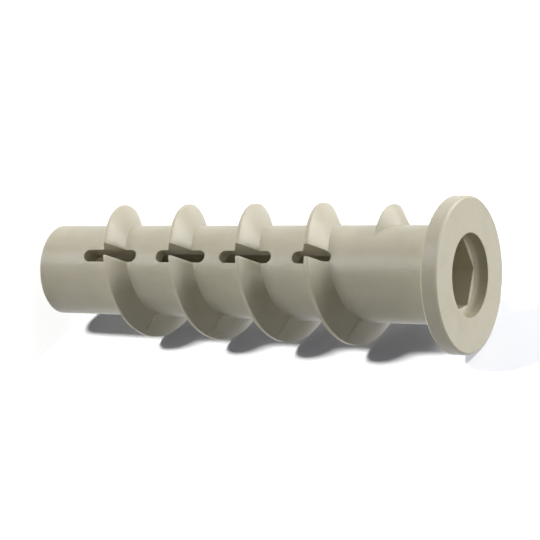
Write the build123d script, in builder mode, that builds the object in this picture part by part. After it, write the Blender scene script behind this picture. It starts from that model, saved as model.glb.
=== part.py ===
from build123d import *
import os
from math import cos, pi, radians, sin, sqrt, tan

# A screw-in plug for aerated concrete, moulded in nylon as one piece.
# Millimetres. The plug stands on its tip, and +Z points along its axis, out of the wall.
# The origin is on the axis in the head's front face, at the centre of the mouth, so the rest
# of the plug lies below it.
# Angles round the axis are in degrees, from the front (-Y) towards -X.
# The mould opens to the front and the back, so its parting lines run down the two sides.

# Tube, which narrows evenly from the flange to the tip
neck_diameter = 12.0
tip_diameter = 11.2
neck_length = 8.9
nose_length = 8.7
tip_chamfer = 0.25

# Flange head
head_diameter = 19.0
head_thickness = 2.1
head_front_chamfer = 0.25
head_back_chamfer = 0.2

# Hexagonal driving socket and the mouth that leads into it
key_size = 8.0
key_clearance = 0.25
mouth_lip = 0.33
mouth_depth = 1.0
mouth_cone_depth = 0.75

# Screw channel through the nose
channel_length = 12.0
channel_diameter = 5.6
channel_cone_length = 2.6

# Helical flight, a blunt tooth that leaves the helix at its head end and sinks into the tube
reach_near_head = 2.8
reach_near_tip = 2.6
rim_width_near_head = 0.55
rim_width_near_tip = 0.32
rim_share_at_head_end = 0.5
rim_share_at_last = 0.15
pitch = 9.5
flank_angle = 29.0
flight_root_depth = 0.5
run_out_angle = 75.0
lead_in_delay = 45.0
lead_in_angle = 75.0
section_step = 15.0

# Step that the mould halves leave on the flanks at each parting line
seam_swell = 0.38
seam_swell_angle = 30.0

# Slots through the wall and the flight, one for each turn of the flight from the head to the tip,
# each with its reach past the flight's rim towards the head and towards the tip
slot_width = 1.6
slot_reaches = ((2.3, 3.05), (3.55, 3.75), (3.7, 3.35), (3.25, 4.45))
slot_overcut = 1.0

# Directions
up = Vector(0, 0, 1)
full_turn = 360.0
half_turn = full_turn / 2
parting_angle = full_turn / 4

# Sizes that follow
socket_across_flats = key_size + key_clearance
socket_corner_radius = socket_across_flats / sqrt(3)
mouth_radius = socket_corner_radius + mouth_lip
flank_slope = tan(radians(flank_angle))
turns = len(slot_reaches)
flight_length = turns * pitch

# Heights that follow
seat_level = -head_thickness
flight_head_level = seat_level - neck_length
tip_level = flight_head_level - flight_length - nose_length
socket_end_level = tip_level + channel_length
socket_start_level = -mouth_depth - mouth_cone_depth


def outward(angle):
    """Direction away from the axis at the angle."""
    return Vector(-sin(radians(angle)), -cos(radians(angle)), 0)


def radial_plane(angle):
    """Plane through the axis: its own x runs up the axis, its own y points outwards at the angle."""
    return Plane(origin=(0, 0, 0), x_dir=up, z_dir=up.cross(outward(angle)))


def facing_plane(angle):
    """Plane through the axis that faces outwards at the angle: its own x runs up the axis."""
    return Plane(origin=(0, 0, 0), x_dir=up, z_dir=outward(angle))


def helix_level(turned):
    """Height of the rim's edge on the tip side, after a turn down from the flight's head end."""
    return flight_head_level - pitch * turned / full_turn


def between(first, last, share):
    """Value part of the way from the first to the last."""
    return first + (last - first) * share


def tube_radius(level):
    """Outer radius of the tube at a height."""
    return between(neck_diameter, tip_diameter, (seat_level - level) / (seat_level - tip_level)) / 2


def rim_width(level):
    """Width of the flight's outer rim, which narrows evenly from the head towards the tip."""
    return between(rim_width_near_head, rim_width_near_tip, (flight_head_level - level) / flight_length)


def full_reach(level):
    """How far the whole flight stands out of the tube, a little less towards the tip."""
    return between(reach_near_head, reach_near_tip, (flight_head_level - level) / flight_length)


def swell(angle_from_seam):
    """Extra width of a flank's foot, largest at the parting line and gone a little way past it."""
    return seam_swell * max(0.0, 1 - angle_from_seam / seam_swell_angle) ** 2


def faded_reach(level, share):
    """Reach of the flight as it sinks into the tube, from full at 0 to just under the skin at 1."""
    buried = flight_root_depth / 2
    return (full_reach(level) + buried) * cos(share * pi / 2) ** 2 - buried


def flight_section(angle, level, reach, rim_share=1.0, head_side_swell=0.0, tip_side_swell=0.0):
    """One section of the flight: a blunt tooth standing on the tube, its root inside the wall.

    The level is the height of the rim's edge on the tip side, and the reach is how far the rim
    stands out of the tube. The rim's share is how much of its width is left where the flight
    begins or ends. A swell widens that side's foot, and leaves the rim alone.
    """
    rim = rim_width(level) * rim_share
    full = reach + flight_root_depth
    tip_side = full * (flank_slope + tip_side_swell / full_reach(level))
    head_side = full * (flank_slope + head_side_swell / full_reach(level))
    root = tube_radius(level) - flight_root_depth
    crest = tube_radius(level) + reach
    with BuildSketch(radial_plane(angle)) as section:
        with BuildLine():
            Polyline(
                (level - tip_side, root),
                (level, crest),
                (level + rim, crest),
                (level + rim + head_side, root),
                close=True,
            )
        make_face()
    return section.sketch


with BuildPart() as plug:
    # Tube and flange
    with BuildSketch(radial_plane(0)):
        with BuildLine():
            Polyline(
                (tip_level, 0),
                (tip_level, tip_diameter / 2),
                (seat_level, neck_diameter / 2),
                (seat_level, 0),
                close=True,
            )
        make_face()
    revolve(axis=Axis.Z)
    with BuildSketch(Plane.XY.offset(seat_level)):
        Circle(head_diameter / 2)
    extrude(amount=head_thickness)
    chamfer(plug.edges().sort_by(Axis.Z)[-1], head_front_chamfer)
    seat_edges = plug.edges().filter_by_position(Axis.Z, seat_level, seat_level)
    chamfer(seat_edges.sort_by(SortBy.RADIUS)[-1], head_back_chamfer)
    chamfer(plug.edges().sort_by(Axis.Z)[0], tip_chamfer)

    # Flight: one smooth piece for each half turn, as each half of the mould forms it
    steps = round(half_turn / section_step)
    for half in range(2 * turns):
        sections = []
        for step in range(steps + 1):
            inside = half_turn * step / steps
            turned = half * half_turn + inside
            section = flight_section(
                parting_angle + turned,
                helix_level(turned),
                full_reach(helix_level(turned)),
                rim_share=min(1.0, between(rim_share_at_head_end, 1.0, turned / half_turn)),
                head_side_swell=swell(half_turn - inside),
                tip_side_swell=swell(inside),
            )
            sections.append(section)
        loft(sections)

    # Lead-in near the tip, where the flight rises out of the tube
    lead_angle = lead_in_delay + lead_in_angle
    steps = round(lead_angle / section_step)
    sections = []
    for step in range(steps + 1):
        inside = lead_angle * step / steps
        turned = turns * full_turn + inside
        level = helix_level(turned)
        share = max(0.0, inside - lead_in_delay) / lead_in_angle
        section = flight_section(
            parting_angle + turned,
            level,
            faded_reach(level, share),
            rim_share=between(1.0, rim_share_at_last, share),
            tip_side_swell=swell(inside),
        )
        sections.append(section)
    loft(sections)

    # Run-out near the head, where the flight stays in one plane and sinks into the tube
    steps = round(run_out_angle / section_step)
    sections = []
    for step in range(steps + 1):
        share = step / steps
        section = flight_section(
            parting_angle - share * run_out_angle,
            flight_head_level,
            faded_reach(flight_head_level, share),
            rim_share=between(rim_share_at_head_end, rim_share_at_last, share),
            head_side_swell=swell(share * run_out_angle),
        )
        sections.append(section)
    loft(sections)

    # Slots: a row down the front and a row down the back, each slot set where the flight crosses it
    slot_reach = neck_diameter / 2 + reach_near_head + slot_overcut
    for row_angle in (half_turn, full_turn):
        for turn, (to_head, to_tip) in enumerate(slot_reaches):
            crossing = helix_level(row_angle - parting_angle + turn * full_turn)
            with BuildSketch(facing_plane(row_angle)):
                with Locations((crossing + (to_head - to_tip) / 2, 0)):
                    SlotOverall(to_head + to_tip, slot_width)
            extrude(amount=slot_reach, mode=Mode.SUBTRACT)

    # Mouth: a counterbore with a cone down to the socket's corners
    with BuildSketch(radial_plane(0)):
        with BuildLine():
            Polyline(
                (0, 0),
                (0, mouth_radius),
                (-mouth_depth, mouth_radius),
                (socket_start_level, socket_corner_radius),
                (socket_start_level, 0),
                close=True,
            )
        make_face()
    revolve(axis=Axis.Z, mode=Mode.SUBTRACT)

    # Hexagonal socket, two of its corners in the parting plane
    with BuildSketch(Plane.XY.offset(socket_start_level)):
        RegularPolygon(socket_corner_radius, 6)
    extrude(amount=socket_end_level - socket_start_level, mode=Mode.SUBTRACT)

    # Screw channel through the nose, with a cone that guides the screw's point into it
    with BuildSketch(radial_plane(0)):
        with BuildLine():
            Polyline(
                (socket_end_level, 0),
                (socket_end_level, socket_across_flats / 2),
                (socket_end_level - channel_cone_length, channel_diameter / 2),
                (tip_level, channel_diameter / 2),
                (tip_level, 0),
                close=True,
            )
        make_face()
    revolve(axis=Axis.Z, mode=Mode.SUBTRACT)

plug.part.label = "plug_body"
os.makedirs("parts", exist_ok=True)
export_step(plug.part, "parts/plug_body.step")
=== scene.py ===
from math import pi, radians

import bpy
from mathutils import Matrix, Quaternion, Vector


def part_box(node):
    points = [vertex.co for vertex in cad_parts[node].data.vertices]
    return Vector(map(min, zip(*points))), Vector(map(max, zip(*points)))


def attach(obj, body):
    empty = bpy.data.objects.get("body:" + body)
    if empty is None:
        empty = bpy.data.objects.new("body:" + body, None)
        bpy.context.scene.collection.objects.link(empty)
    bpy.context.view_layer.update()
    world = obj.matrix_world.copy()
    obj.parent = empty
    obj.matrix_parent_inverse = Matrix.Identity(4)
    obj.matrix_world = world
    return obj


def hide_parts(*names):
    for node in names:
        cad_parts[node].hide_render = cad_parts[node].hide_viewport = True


bl_info = {
    "name": "Aerated Concrete Plug",
    "version": (1, 0, 0),
    "blender": (4, 5, 0),
    "location": "View3D > Sidebar > Plug",
    "description": "Finishes a moulded nylon plug and sets it on a studio stage",
    "category": "Object",
}

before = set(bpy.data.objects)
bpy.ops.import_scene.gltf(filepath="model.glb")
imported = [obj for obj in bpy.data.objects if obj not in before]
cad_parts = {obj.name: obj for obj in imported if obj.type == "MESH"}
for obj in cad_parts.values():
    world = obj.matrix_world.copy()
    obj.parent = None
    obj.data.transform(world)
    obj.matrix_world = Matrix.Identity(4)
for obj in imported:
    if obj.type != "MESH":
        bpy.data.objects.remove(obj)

MM = 0.001
WHITE = (1.0, 1.0, 1.0, 1.0)

# The body in the frame, its finished piece, and the middle of the plug's axis
BODY_NODE = "plug_body"
BODY_NAME = "plug_skin"
BODY_LOW, BODY_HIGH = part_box(BODY_NODE)
MIDDLE = Vector((0, 0, (BODY_LOW.z + BODY_HIGH.z) / 2))

# Merging the solid's loose triangles, joining those that lie flat, and rounding the edges
MERGE_DISTANCE = 0.001 * MM
FLAT_ANGLE = radians(0.6)
ROUND_SEGMENTS = 2

# Patterns of the nylon: features per metre, layers of finer detail, and the values that count
CLOUD_SCALE = 260.0
CLOUD_DETAIL = 4.0
CLOUD_RANGE = (0.42, 0.72)
SATIN_SCALE = 900.0
SATIN_DETAIL = 3.0
SATIN_RANGE = (0.3, 0.7)
SATIN_SPREAD = 0.03
GRAIN_SCALE = 3000.0
GRAIN_DETAIL = 3.0
GRAIN_DEPTH = 0.028 * MM

# Light that enters the nylon and comes out again: its share, and how far each colour goes
SCATTER_SHARE = 0.25
SCATTER_COLOUR = (1.0, 0.85, 0.55)
SCATTER_DEPTH = 0.6 * MM

# Floor: its width, and the share of the light that it throws back on the plug
FLOOR_SIZE = 3.0
FLOOR_BOUNCE = 0.7

# Soft lamps on the plug: name, azimuth and elevation in degrees, and the share of full light
LAMP_DISTANCE = 300 * MM
LAMP_SIZE = 150 * MM
PLUG_LAMPS = (
    ("overhead", -81.0, 75.0, 0.48),
    ("key", -106.0, 40.0, 0.38),
    ("side", -71.0, 0.0, 0.365),
    ("low_front", -8.0, -31.0, 0.335),
    ("under", 99.0, -75.0, 0.45),
)

# Lamps that light the backdrop alone, which is darkest where the plug hides them both
BACKDROP_LAMPS = (
    ("backdrop_low", -22.0, -33.0, 2.5),
    ("backdrop_high", -49.0, 27.0, 0.9),
)


class PlugSettings(bpy.types.PropertyGroup):
    """Sizes and colours of the plug's finish and of its stage."""

    edge_round: bpy.props.FloatProperty(
        name="Edge Round",
        description="Width of the small round on every moulded edge",
        default=0.08 * MM,
        min=0.0,
        unit="LENGTH",
    )
    crease_angle: bpy.props.FloatProperty(
        name="Crease Angle",
        description="Edges that turn more than this are rounded, and the rest is smooth",
        default=radians(30.0),
        subtype="ANGLE",
    )
    nylon_colour: bpy.props.FloatVectorProperty(
        name="Nylon",
        description="Colour of the moulded nylon",
        default=(0.608, 0.566, 0.438),
        min=0.0,
        max=1.0,
        subtype="COLOR",
    )
    nylon_shade: bpy.props.FloatVectorProperty(
        name="Nylon Clouds",
        description="Colour of the faint darker clouds in the nylon",
        default=(0.575, 0.532, 0.400),
        min=0.0,
        max=1.0,
        subtype="COLOR",
    )
    nylon_roughness: bpy.props.FloatProperty(
        name="Roughness",
        description="Roughness of the satin surface",
        default=0.31,
        min=0.0,
        max=1.0,
        subtype="FACTOR",
    )
    camera_azimuth: bpy.props.FloatProperty(
        name="Camera Azimuth",
        description="Turn of the camera round the plug, from the front towards +X",
        default=radians(18.61),
        subtype="ANGLE",
    )
    camera_elevation: bpy.props.FloatProperty(
        name="Camera Elevation",
        description="Height of the camera above the horizon",
        default=radians(28.92),
        subtype="ANGLE",
    )
    camera_roll: bpy.props.FloatProperty(
        name="Camera Roll",
        description="Turn of the camera about its line of sight, which lays the plug level",
        default=radians(90.81),
        subtype="ANGLE",
    )
    camera_distance: bpy.props.FloatProperty(
        name="Camera Distance",
        description="Distance from the camera to the point that it looks at",
        default=344.31 * MM,
        unit="LENGTH",
    )
    camera_lens: bpy.props.FloatProperty(
        name="Lens",
        description="Focal length on a 36 mm sensor",
        default=185.7,
        unit="CAMERA",
    )
    camera_target: bpy.props.FloatVectorProperty(
        name="Camera Target",
        description="Point near the plug's axis that the camera looks at",
        default=(-0.27 * MM, -0.09 * MM, -27.22 * MM),
        subtype="TRANSLATION",
        unit="LENGTH",
    )
    backdrop_azimuth: bpy.props.FloatProperty(
        name="Backdrop Azimuth",
        description="Direction that the backdrop faces, from the front towards +X",
        default=radians(-44.0),
        subtype="ANGLE",
    )
    backdrop_tilt: bpy.props.FloatProperty(
        name="Backdrop Tilt",
        description="How far the backdrop leans back from upright",
        default=radians(2.0),
        subtype="ANGLE",
    )
    backdrop_distance: bpy.props.FloatProperty(
        name="Backdrop Distance",
        description="Distance of the backdrop from the centre of the head, just clear of the plug",
        default=9.7 * MM,
        unit="LENGTH",
    )
    backdrop_size: bpy.props.FloatProperty(
        name="Backdrop Size",
        description="Width and height of the backdrop",
        default=300.0 * MM,
        unit="LENGTH",
    )
    backdrop_shade: bpy.props.FloatProperty(
        name="Backdrop Shade",
        description="Share of the light that the backdrop gives back",
        default=0.5,
        min=0.0,
        max=1.0,
        subtype="FACTOR",
    )
    # Painted light: the backdrop's own glow. Below the head it is faint and bluish and lifts the
    # shadow to grey; beside the head it is strong and paints the shadow pale.
    backdrop_glow: bpy.props.FloatVectorProperty(
        name="Backdrop Glow",
        description="Light of the backdrop's own beside the head, where the shadow is pale",
        default=(0.42, 0.43, 0.47),
        min=0.0,
        max=1.0,
        subtype="COLOR",
    )
    shadow_glow: bpy.props.FloatVectorProperty(
        name="Shadow Glow",
        description="Light of the backdrop's own below the head, for a neutral grey shadow",
        default=(0.035, 0.040, 0.058),
        min=0.0,
        max=1.0,
        subtype="COLOR",
    )
    glow_start: bpy.props.FloatProperty(
        name="Glow Start",
        description="Height from the head's front face at which the glow starts to grow",
        default=-7.5 * MM,
        unit="LENGTH",
    )
    glow_end: bpy.props.FloatProperty(
        name="Glow End",
        description="Height from the head's front face at which the glow is full",
        default=-2.5 * MM,
        unit="LENGTH",
    )
    floor_shade: bpy.props.FloatProperty(
        name="Floor Shade",
        description="Share of the light that the camera sees from the floor",
        default=0.3,
        min=0.0,
        max=1.0,
        subtype="FACTOR",
    )
    floor_glow: bpy.props.FloatProperty(
        name="Floor Glow",
        description="Light of the floor's own, for the camera alone",
        default=0.92,
        min=0.0,
        max=1.0,
        subtype="FACTOR",
    )
    world_strength: bpy.props.FloatProperty(
        name="World",
        description="Soft light from all round",
        default=0.10,
        min=0.0,
    )
    shadow_softness: bpy.props.FloatProperty(
        name="Shadow Softness",
        description="Angle that a lamp of the backdrop fills, as seen from the plug",
        default=radians(10.0),
        subtype="ANGLE",
    )


def direction(azimuth, elevation):
    """Direction away from the plug, raised from the front and then turned towards +X."""
    out = Vector((0, -1, 0))
    out.rotate(Quaternion((1, 0, 0), -elevation))
    out.rotate(Quaternion((0, 0, 1), azimuth))
    return out


def new_material(name):
    """A material, its node tree, and the shader on its output."""
    material = bpy.data.materials.new(name)
    material.use_nodes = True
    tree = material.node_tree
    tree.nodes.clear()
    shader = tree.nodes.new("ShaderNodeBsdfPrincipled")
    output = tree.nodes.new("ShaderNodeOutputMaterial")
    tree.links.new(shader.outputs["BSDF"], output.inputs["Surface"])
    return material, tree, shader


def object_coordinates(tree):
    """Place on the piece, in metres."""
    return tree.nodes.new("ShaderNodeTexCoord").outputs["Object"]


def noise(tree, coordinates, scale, detail):
    """Noise that varies from place to place on the piece."""
    node = tree.nodes.new("ShaderNodeTexNoise")
    node.inputs["Scale"].default_value = scale
    node.inputs["Detail"].default_value = detail
    tree.links.new(coordinates, node.inputs["Vector"])
    return node.outputs["Fac"]


def ramp(tree, value, low, high, start=0.0, end=1.0):
    """Map a value from low..high to start..end, smoothly."""
    node = tree.nodes.new("ShaderNodeMapRange")
    node.interpolation_type = "SMOOTHSTEP"
    node.inputs["From Min"].default_value = low
    node.inputs["From Max"].default_value = high
    node.inputs["To Min"].default_value = start
    node.inputs["To Max"].default_value = end
    tree.links.new(value, node.inputs["Value"])
    return node.outputs["Result"]


def mix_colour(tree, factor, first, second):
    """Blend of two colours by a factor."""
    node = tree.nodes.new("ShaderNodeMix")
    node.data_type = "RGBA"
    tree.links.new(factor, node.inputs["Factor"])
    inputs = [socket for socket in node.inputs if socket.type == "RGBA"]
    for socket, colour in zip(inputs, (first, second)):
        socket.default_value = (*colour, 1.0)
    return [socket for socket in node.outputs if socket.type == "RGBA"][0]


def mix_shaders(tree, factor, first, second):
    """Blend of two shaders, sent to the material's output."""
    mix = tree.nodes.new("ShaderNodeMixShader")
    tree.links.new(factor, mix.inputs["Fac"])
    tree.links.new(first, mix.inputs[1])
    tree.links.new(second, mix.inputs[2])
    tree.links.new(mix.outputs["Shader"], tree.nodes["Material Output"].inputs["Surface"])


def nylon_material(settings):
    """Moulded nylon: a faintly cloudy warm grey with a satin surface and a fine grain."""
    material, tree, shader = new_material("moulded_nylon")
    coordinates = object_coordinates(tree)
    clouds = ramp(tree, noise(tree, coordinates, CLOUD_SCALE, CLOUD_DETAIL), *CLOUD_RANGE)
    colour = mix_colour(tree, clouds, settings.nylon_colour, settings.nylon_shade)
    tree.links.new(colour, shader.inputs["Base Color"])
    smoothest = settings.nylon_roughness - SATIN_SPREAD
    roughest = settings.nylon_roughness + SATIN_SPREAD
    patches = noise(tree, coordinates, SATIN_SCALE, SATIN_DETAIL)
    satin = ramp(tree, patches, *SATIN_RANGE, smoothest, roughest)
    tree.links.new(satin, shader.inputs["Roughness"])
    bump = tree.nodes.new("ShaderNodeBump")
    bump.inputs["Distance"].default_value = GRAIN_DEPTH
    grain = noise(tree, coordinates, GRAIN_SCALE, GRAIN_DETAIL)
    tree.links.new(grain, bump.inputs["Height"])
    tree.links.new(bump.outputs["Normal"], shader.inputs["Normal"])
    shader.inputs["Subsurface Weight"].default_value = SCATTER_SHARE
    shader.inputs["Subsurface Radius"].default_value = SCATTER_COLOUR
    shader.inputs["Subsurface Scale"].default_value = SCATTER_DEPTH
    return material


def matt(shader, level, glow=0.0):
    """Make a shader matt and colourless, with a light of its own."""
    shader.inputs["Base Color"].default_value = (level, level, level, 1.0)
    shader.inputs["Roughness"].default_value = 1.0
    shader.inputs["Specular IOR Level"].default_value = 0.0
    shader.inputs["Emission Strength"].default_value = glow
    return shader.outputs["BSDF"]


def floor_material(settings):
    """White floor, nearly free of shadow for the camera, that throws plain light on the plug."""
    material, tree, shader = new_material("white_floor")
    seen = tree.nodes.new("ShaderNodeBsdfPrincipled")
    camera_ray = tree.nodes.new("ShaderNodeLightPath").outputs["Is Camera Ray"]
    for_camera = matt(seen, settings.floor_shade, settings.floor_glow)
    mix_shaders(tree, camera_ray, matt(shader, FLOOR_BOUNCE), for_camera)
    return material


def backdrop_material(settings):
    """White backdrop, clear from behind, with painted light of its own that is faint and grows
    beside the head, where it paints the shadow pale.
    """
    material, tree, shader = new_material("white_backdrop")
    clear = tree.nodes.new("ShaderNodeBsdfTransparent")
    behind = tree.nodes.new("ShaderNodeNewGeometry").outputs["Backfacing"]
    mix_shaders(tree, behind, matt(shader, settings.backdrop_shade, 1.0), clear.outputs["BSDF"])
    # Painted light: a faint glow lifts the shadow to a neutral grey, and a stronger glow beside
    # the head paints the shadow pale there.
    place = tree.nodes.new("ShaderNodeSeparateXYZ")
    tree.links.new(object_coordinates(tree), place.inputs["Vector"])
    start = BODY_HIGH.z + settings.glow_start
    end = BODY_HIGH.z + settings.glow_end
    painted_light_beside_head = ramp(tree, place.outputs["Z"], start, end)
    glow = mix_colour(tree, painted_light_beside_head, settings.shadow_glow, settings.backdrop_glow)
    tree.links.new(glow, shader.inputs["Emission Color"])
    return material


def light_group(name, piece, state):
    """Collection that tells a lamp to include, or to leave out, one piece."""
    group = bpy.data.collections.new(name)
    group.objects.link(piece)
    group.collection_objects[0].light_linking.link_state = state
    return group


def add_lamp(context, name, kind, azimuth, elevation):
    """A lamp that shines on the middle of the plug, from a direction in degrees."""
    lamp = bpy.data.objects.new(name, bpy.data.lights.new(name, kind))
    context.scene.collection.objects.link(lamp)
    out = direction(radians(azimuth), radians(elevation))
    lamp.location = MIDDLE + out * LAMP_DISTANCE
    lamp.rotation_mode = "QUATERNION"
    lamp.rotation_quaternion = out.to_track_quat("Z", "Y")
    return lamp


class PLUG_OT_body(bpy.types.Operator):
    """Finish the plug's body: a merged copy of the frame's solid with rounded edges, in nylon"""

    bl_idname = "plug.body"
    bl_label = "Plug Body"

    def execute(self, context):
        settings = context.scene.plug_settings
        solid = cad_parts[BODY_NODE]
        bpy.ops.object.select_all(action="DESELECT")
        solid.select_set(True)
        context.view_layer.objects.active = solid
        bpy.ops.object.duplicate()
        body = context.object
        body.name = BODY_NAME
        bpy.ops.object.mode_set(mode="EDIT")
        bpy.ops.mesh.select_all(action="SELECT")
        bpy.ops.mesh.remove_doubles(threshold=MERGE_DISTANCE)
        bpy.ops.mesh.dissolve_limited(angle_limit=FLAT_ANGLE)
        bpy.ops.object.mode_set(mode="OBJECT")
        bevel = body.modifiers.new("edge round", "BEVEL")
        bevel.width = settings.edge_round
        bevel.segments = ROUND_SEGMENTS
        bevel.limit_method = "ANGLE"
        bevel.angle_limit = settings.crease_angle
        bpy.ops.object.modifier_apply(modifier=bevel.name)
        bpy.ops.object.shade_smooth_by_angle(angle=settings.crease_angle)
        smooth = body.modifiers.new("even shading", "WEIGHTED_NORMAL")
        smooth.mode = "FACE_AREA_WITH_ANGLE"
        smooth.keep_sharp = True
        bpy.ops.object.modifier_apply(modifier=smooth.name)
        body.data.materials.clear()
        body.data.materials.append(nylon_material(settings))
        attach(body, "root")
        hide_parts(BODY_NODE)
        return {"FINISHED"}


class PLUG_OT_stage(bpy.types.Operator):
    """Set up the white floor and backdrop, the soft lamps and the camera"""

    bl_idname = "plug.stage"
    bl_label = "Plug Stage"

    def execute(self, context):
        settings = context.scene.plug_settings
        self.add_floor(context, settings)
        backdrop = self.add_backdrop(context, settings)
        self.add_lamps(context, settings, backdrop)
        self.add_world(context, settings)
        self.add_camera(context, settings)
        context.scene.view_settings.view_transform = "Standard"
        return {"FINISHED"}

    def add_floor(self, context, settings):
        """A white floor under the tip, which lets the light of the lamps below it through."""
        bpy.ops.object.select_all(action="DESELECT")
        bpy.ops.mesh.primitive_plane_add(size=FLOOR_SIZE, location=(0, 0, BODY_LOW.z))
        floor = context.object
        floor.name = "floor"
        bpy.ops.object.transform_apply(location=True, rotation=False, scale=False)
        floor.data.materials.append(floor_material(settings))
        floor.visible_shadow = False
        floor.visible_glossy = False

    def add_backdrop(self, context, settings):
        """A white wall just behind the plug, seen from its front only, which takes its shadow."""
        facing = direction(settings.backdrop_azimuth, settings.backdrop_tilt)
        middle = MIDDLE - facing * (facing.dot(MIDDLE) + settings.backdrop_distance)
        bpy.ops.object.select_all(action="DESELECT")
        bpy.ops.mesh.primitive_plane_add(size=settings.backdrop_size, location=middle)
        backdrop = context.object
        backdrop.name = "backdrop"
        backdrop.rotation_mode = "QUATERNION"
        backdrop.rotation_quaternion = facing.to_track_quat("Z", "Y")
        bpy.ops.object.transform_apply(location=True, rotation=True, scale=False)
        backdrop.data.materials.append(backdrop_material(settings))
        backdrop.visible_diffuse = False
        backdrop.visible_glossy = False
        backdrop.visible_transmission = False
        backdrop.visible_shadow = False
        return backdrop

    def add_lamps(self, context, settings, backdrop):
        """Soft lamps on the plug and the floor, and lamps that cast its shadow on the backdrop."""
        for_plug = light_group("for the plug", backdrop, "EXCLUDE")
        for name, azimuth, elevation, level in PLUG_LAMPS:
            lamp = add_lamp(context, name, "AREA", azimuth, elevation)
            lamp.data.size = LAMP_SIZE
            lamp.data.energy = pi ** 2 * LAMP_DISTANCE ** 2 * level
            lamp.light_linking.receiver_collection = for_plug
        for_backdrop = light_group("for the backdrop", backdrop, "INCLUDE")
        body = bpy.data.objects[BODY_NAME]
        shadow_of_plug = light_group("shadow of the plug", body, "INCLUDE")
        for name, azimuth, elevation, level in BACKDROP_LAMPS:
            lamp = add_lamp(context, name, "SUN", azimuth, elevation)
            lamp.data.angle = settings.shadow_softness
            lamp.data.energy = pi * level
            lamp.light_linking.receiver_collection = for_backdrop
            lamp.light_linking.blocker_collection = shadow_of_plug

    def add_world(self, context, settings):
        """White for the camera and in reflections, and a soft light on the plug."""
        world = bpy.data.worlds.new("studio")
        context.scene.world = world
        world.use_nodes = True
        tree = world.node_tree
        background = tree.nodes["Background"]
        background.inputs["Color"].default_value = WHITE
        path = tree.nodes.new("ShaderNodeLightPath")
        seen = path.outputs["Is Camera Ray"]
        for name in ("Is Glossy Ray", "Is Transmission Ray"):
            either = tree.nodes.new("ShaderNodeMath")
            either.operation = "MAXIMUM"
            tree.links.new(seen, either.inputs[0])
            tree.links.new(path.outputs[name], either.inputs[1])
            seen = either.outputs["Value"]
        strength = tree.nodes.new("ShaderNodeMix")
        strength.data_type = "FLOAT"
        tree.links.new(seen, strength.inputs["Factor"])
        strength.inputs["A"].default_value = settings.world_strength
        strength.inputs["B"].default_value = 1.0
        tree.links.new(strength.outputs["Result"], background.inputs["Strength"])

    def add_camera(self, context, settings):
        """A long lens at the photograph's viewing angle."""
        camera_data = bpy.data.cameras.new("camera")
        camera_data.lens = settings.camera_lens
        camera = bpy.data.objects.new("camera", camera_data)
        context.scene.collection.objects.link(camera)
        backward = direction(settings.camera_azimuth, settings.camera_elevation)
        camera.location = Vector(settings.camera_target) + backward * settings.camera_distance
        look = (-backward).to_track_quat("-Z", "Y")
        camera.rotation_mode = "QUATERNION"
        camera.rotation_quaternion = look @ Quaternion((0, 0, 1), settings.camera_roll)
        context.scene.camera = camera


class PLUG_PT_panel(bpy.types.Panel):
    """Settings of the plug and its stage"""

    bl_idname = "PLUG_PT_panel"
    bl_label = "Plug"
    bl_space_type = "VIEW_3D"
    bl_region_type = "UI"
    bl_category = "Plug"

    def draw(self, context):
        settings = context.scene.plug_settings
        for name in PlugSettings.__annotations__:
            self.layout.prop(settings, name)
        self.layout.operator("plug.body")
        self.layout.operator("plug.stage")


CLASSES = (PlugSettings, PLUG_OT_body, PLUG_OT_stage, PLUG_PT_panel)


def register():
    for cls in CLASSES:
        bpy.utils.register_class(cls)
    bpy.types.Scene.plug_settings = bpy.props.PointerProperty(type=PlugSettings)


def unregister():
    del bpy.types.Scene.plug_settings
    for cls in reversed(CLASSES):
        bpy.utils.unregister_class(cls)


def main():
    register()
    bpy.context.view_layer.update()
    bpy.ops.plug.body()
    bpy.ops.plug.stage()


if __name__ == "__main__":
    main()
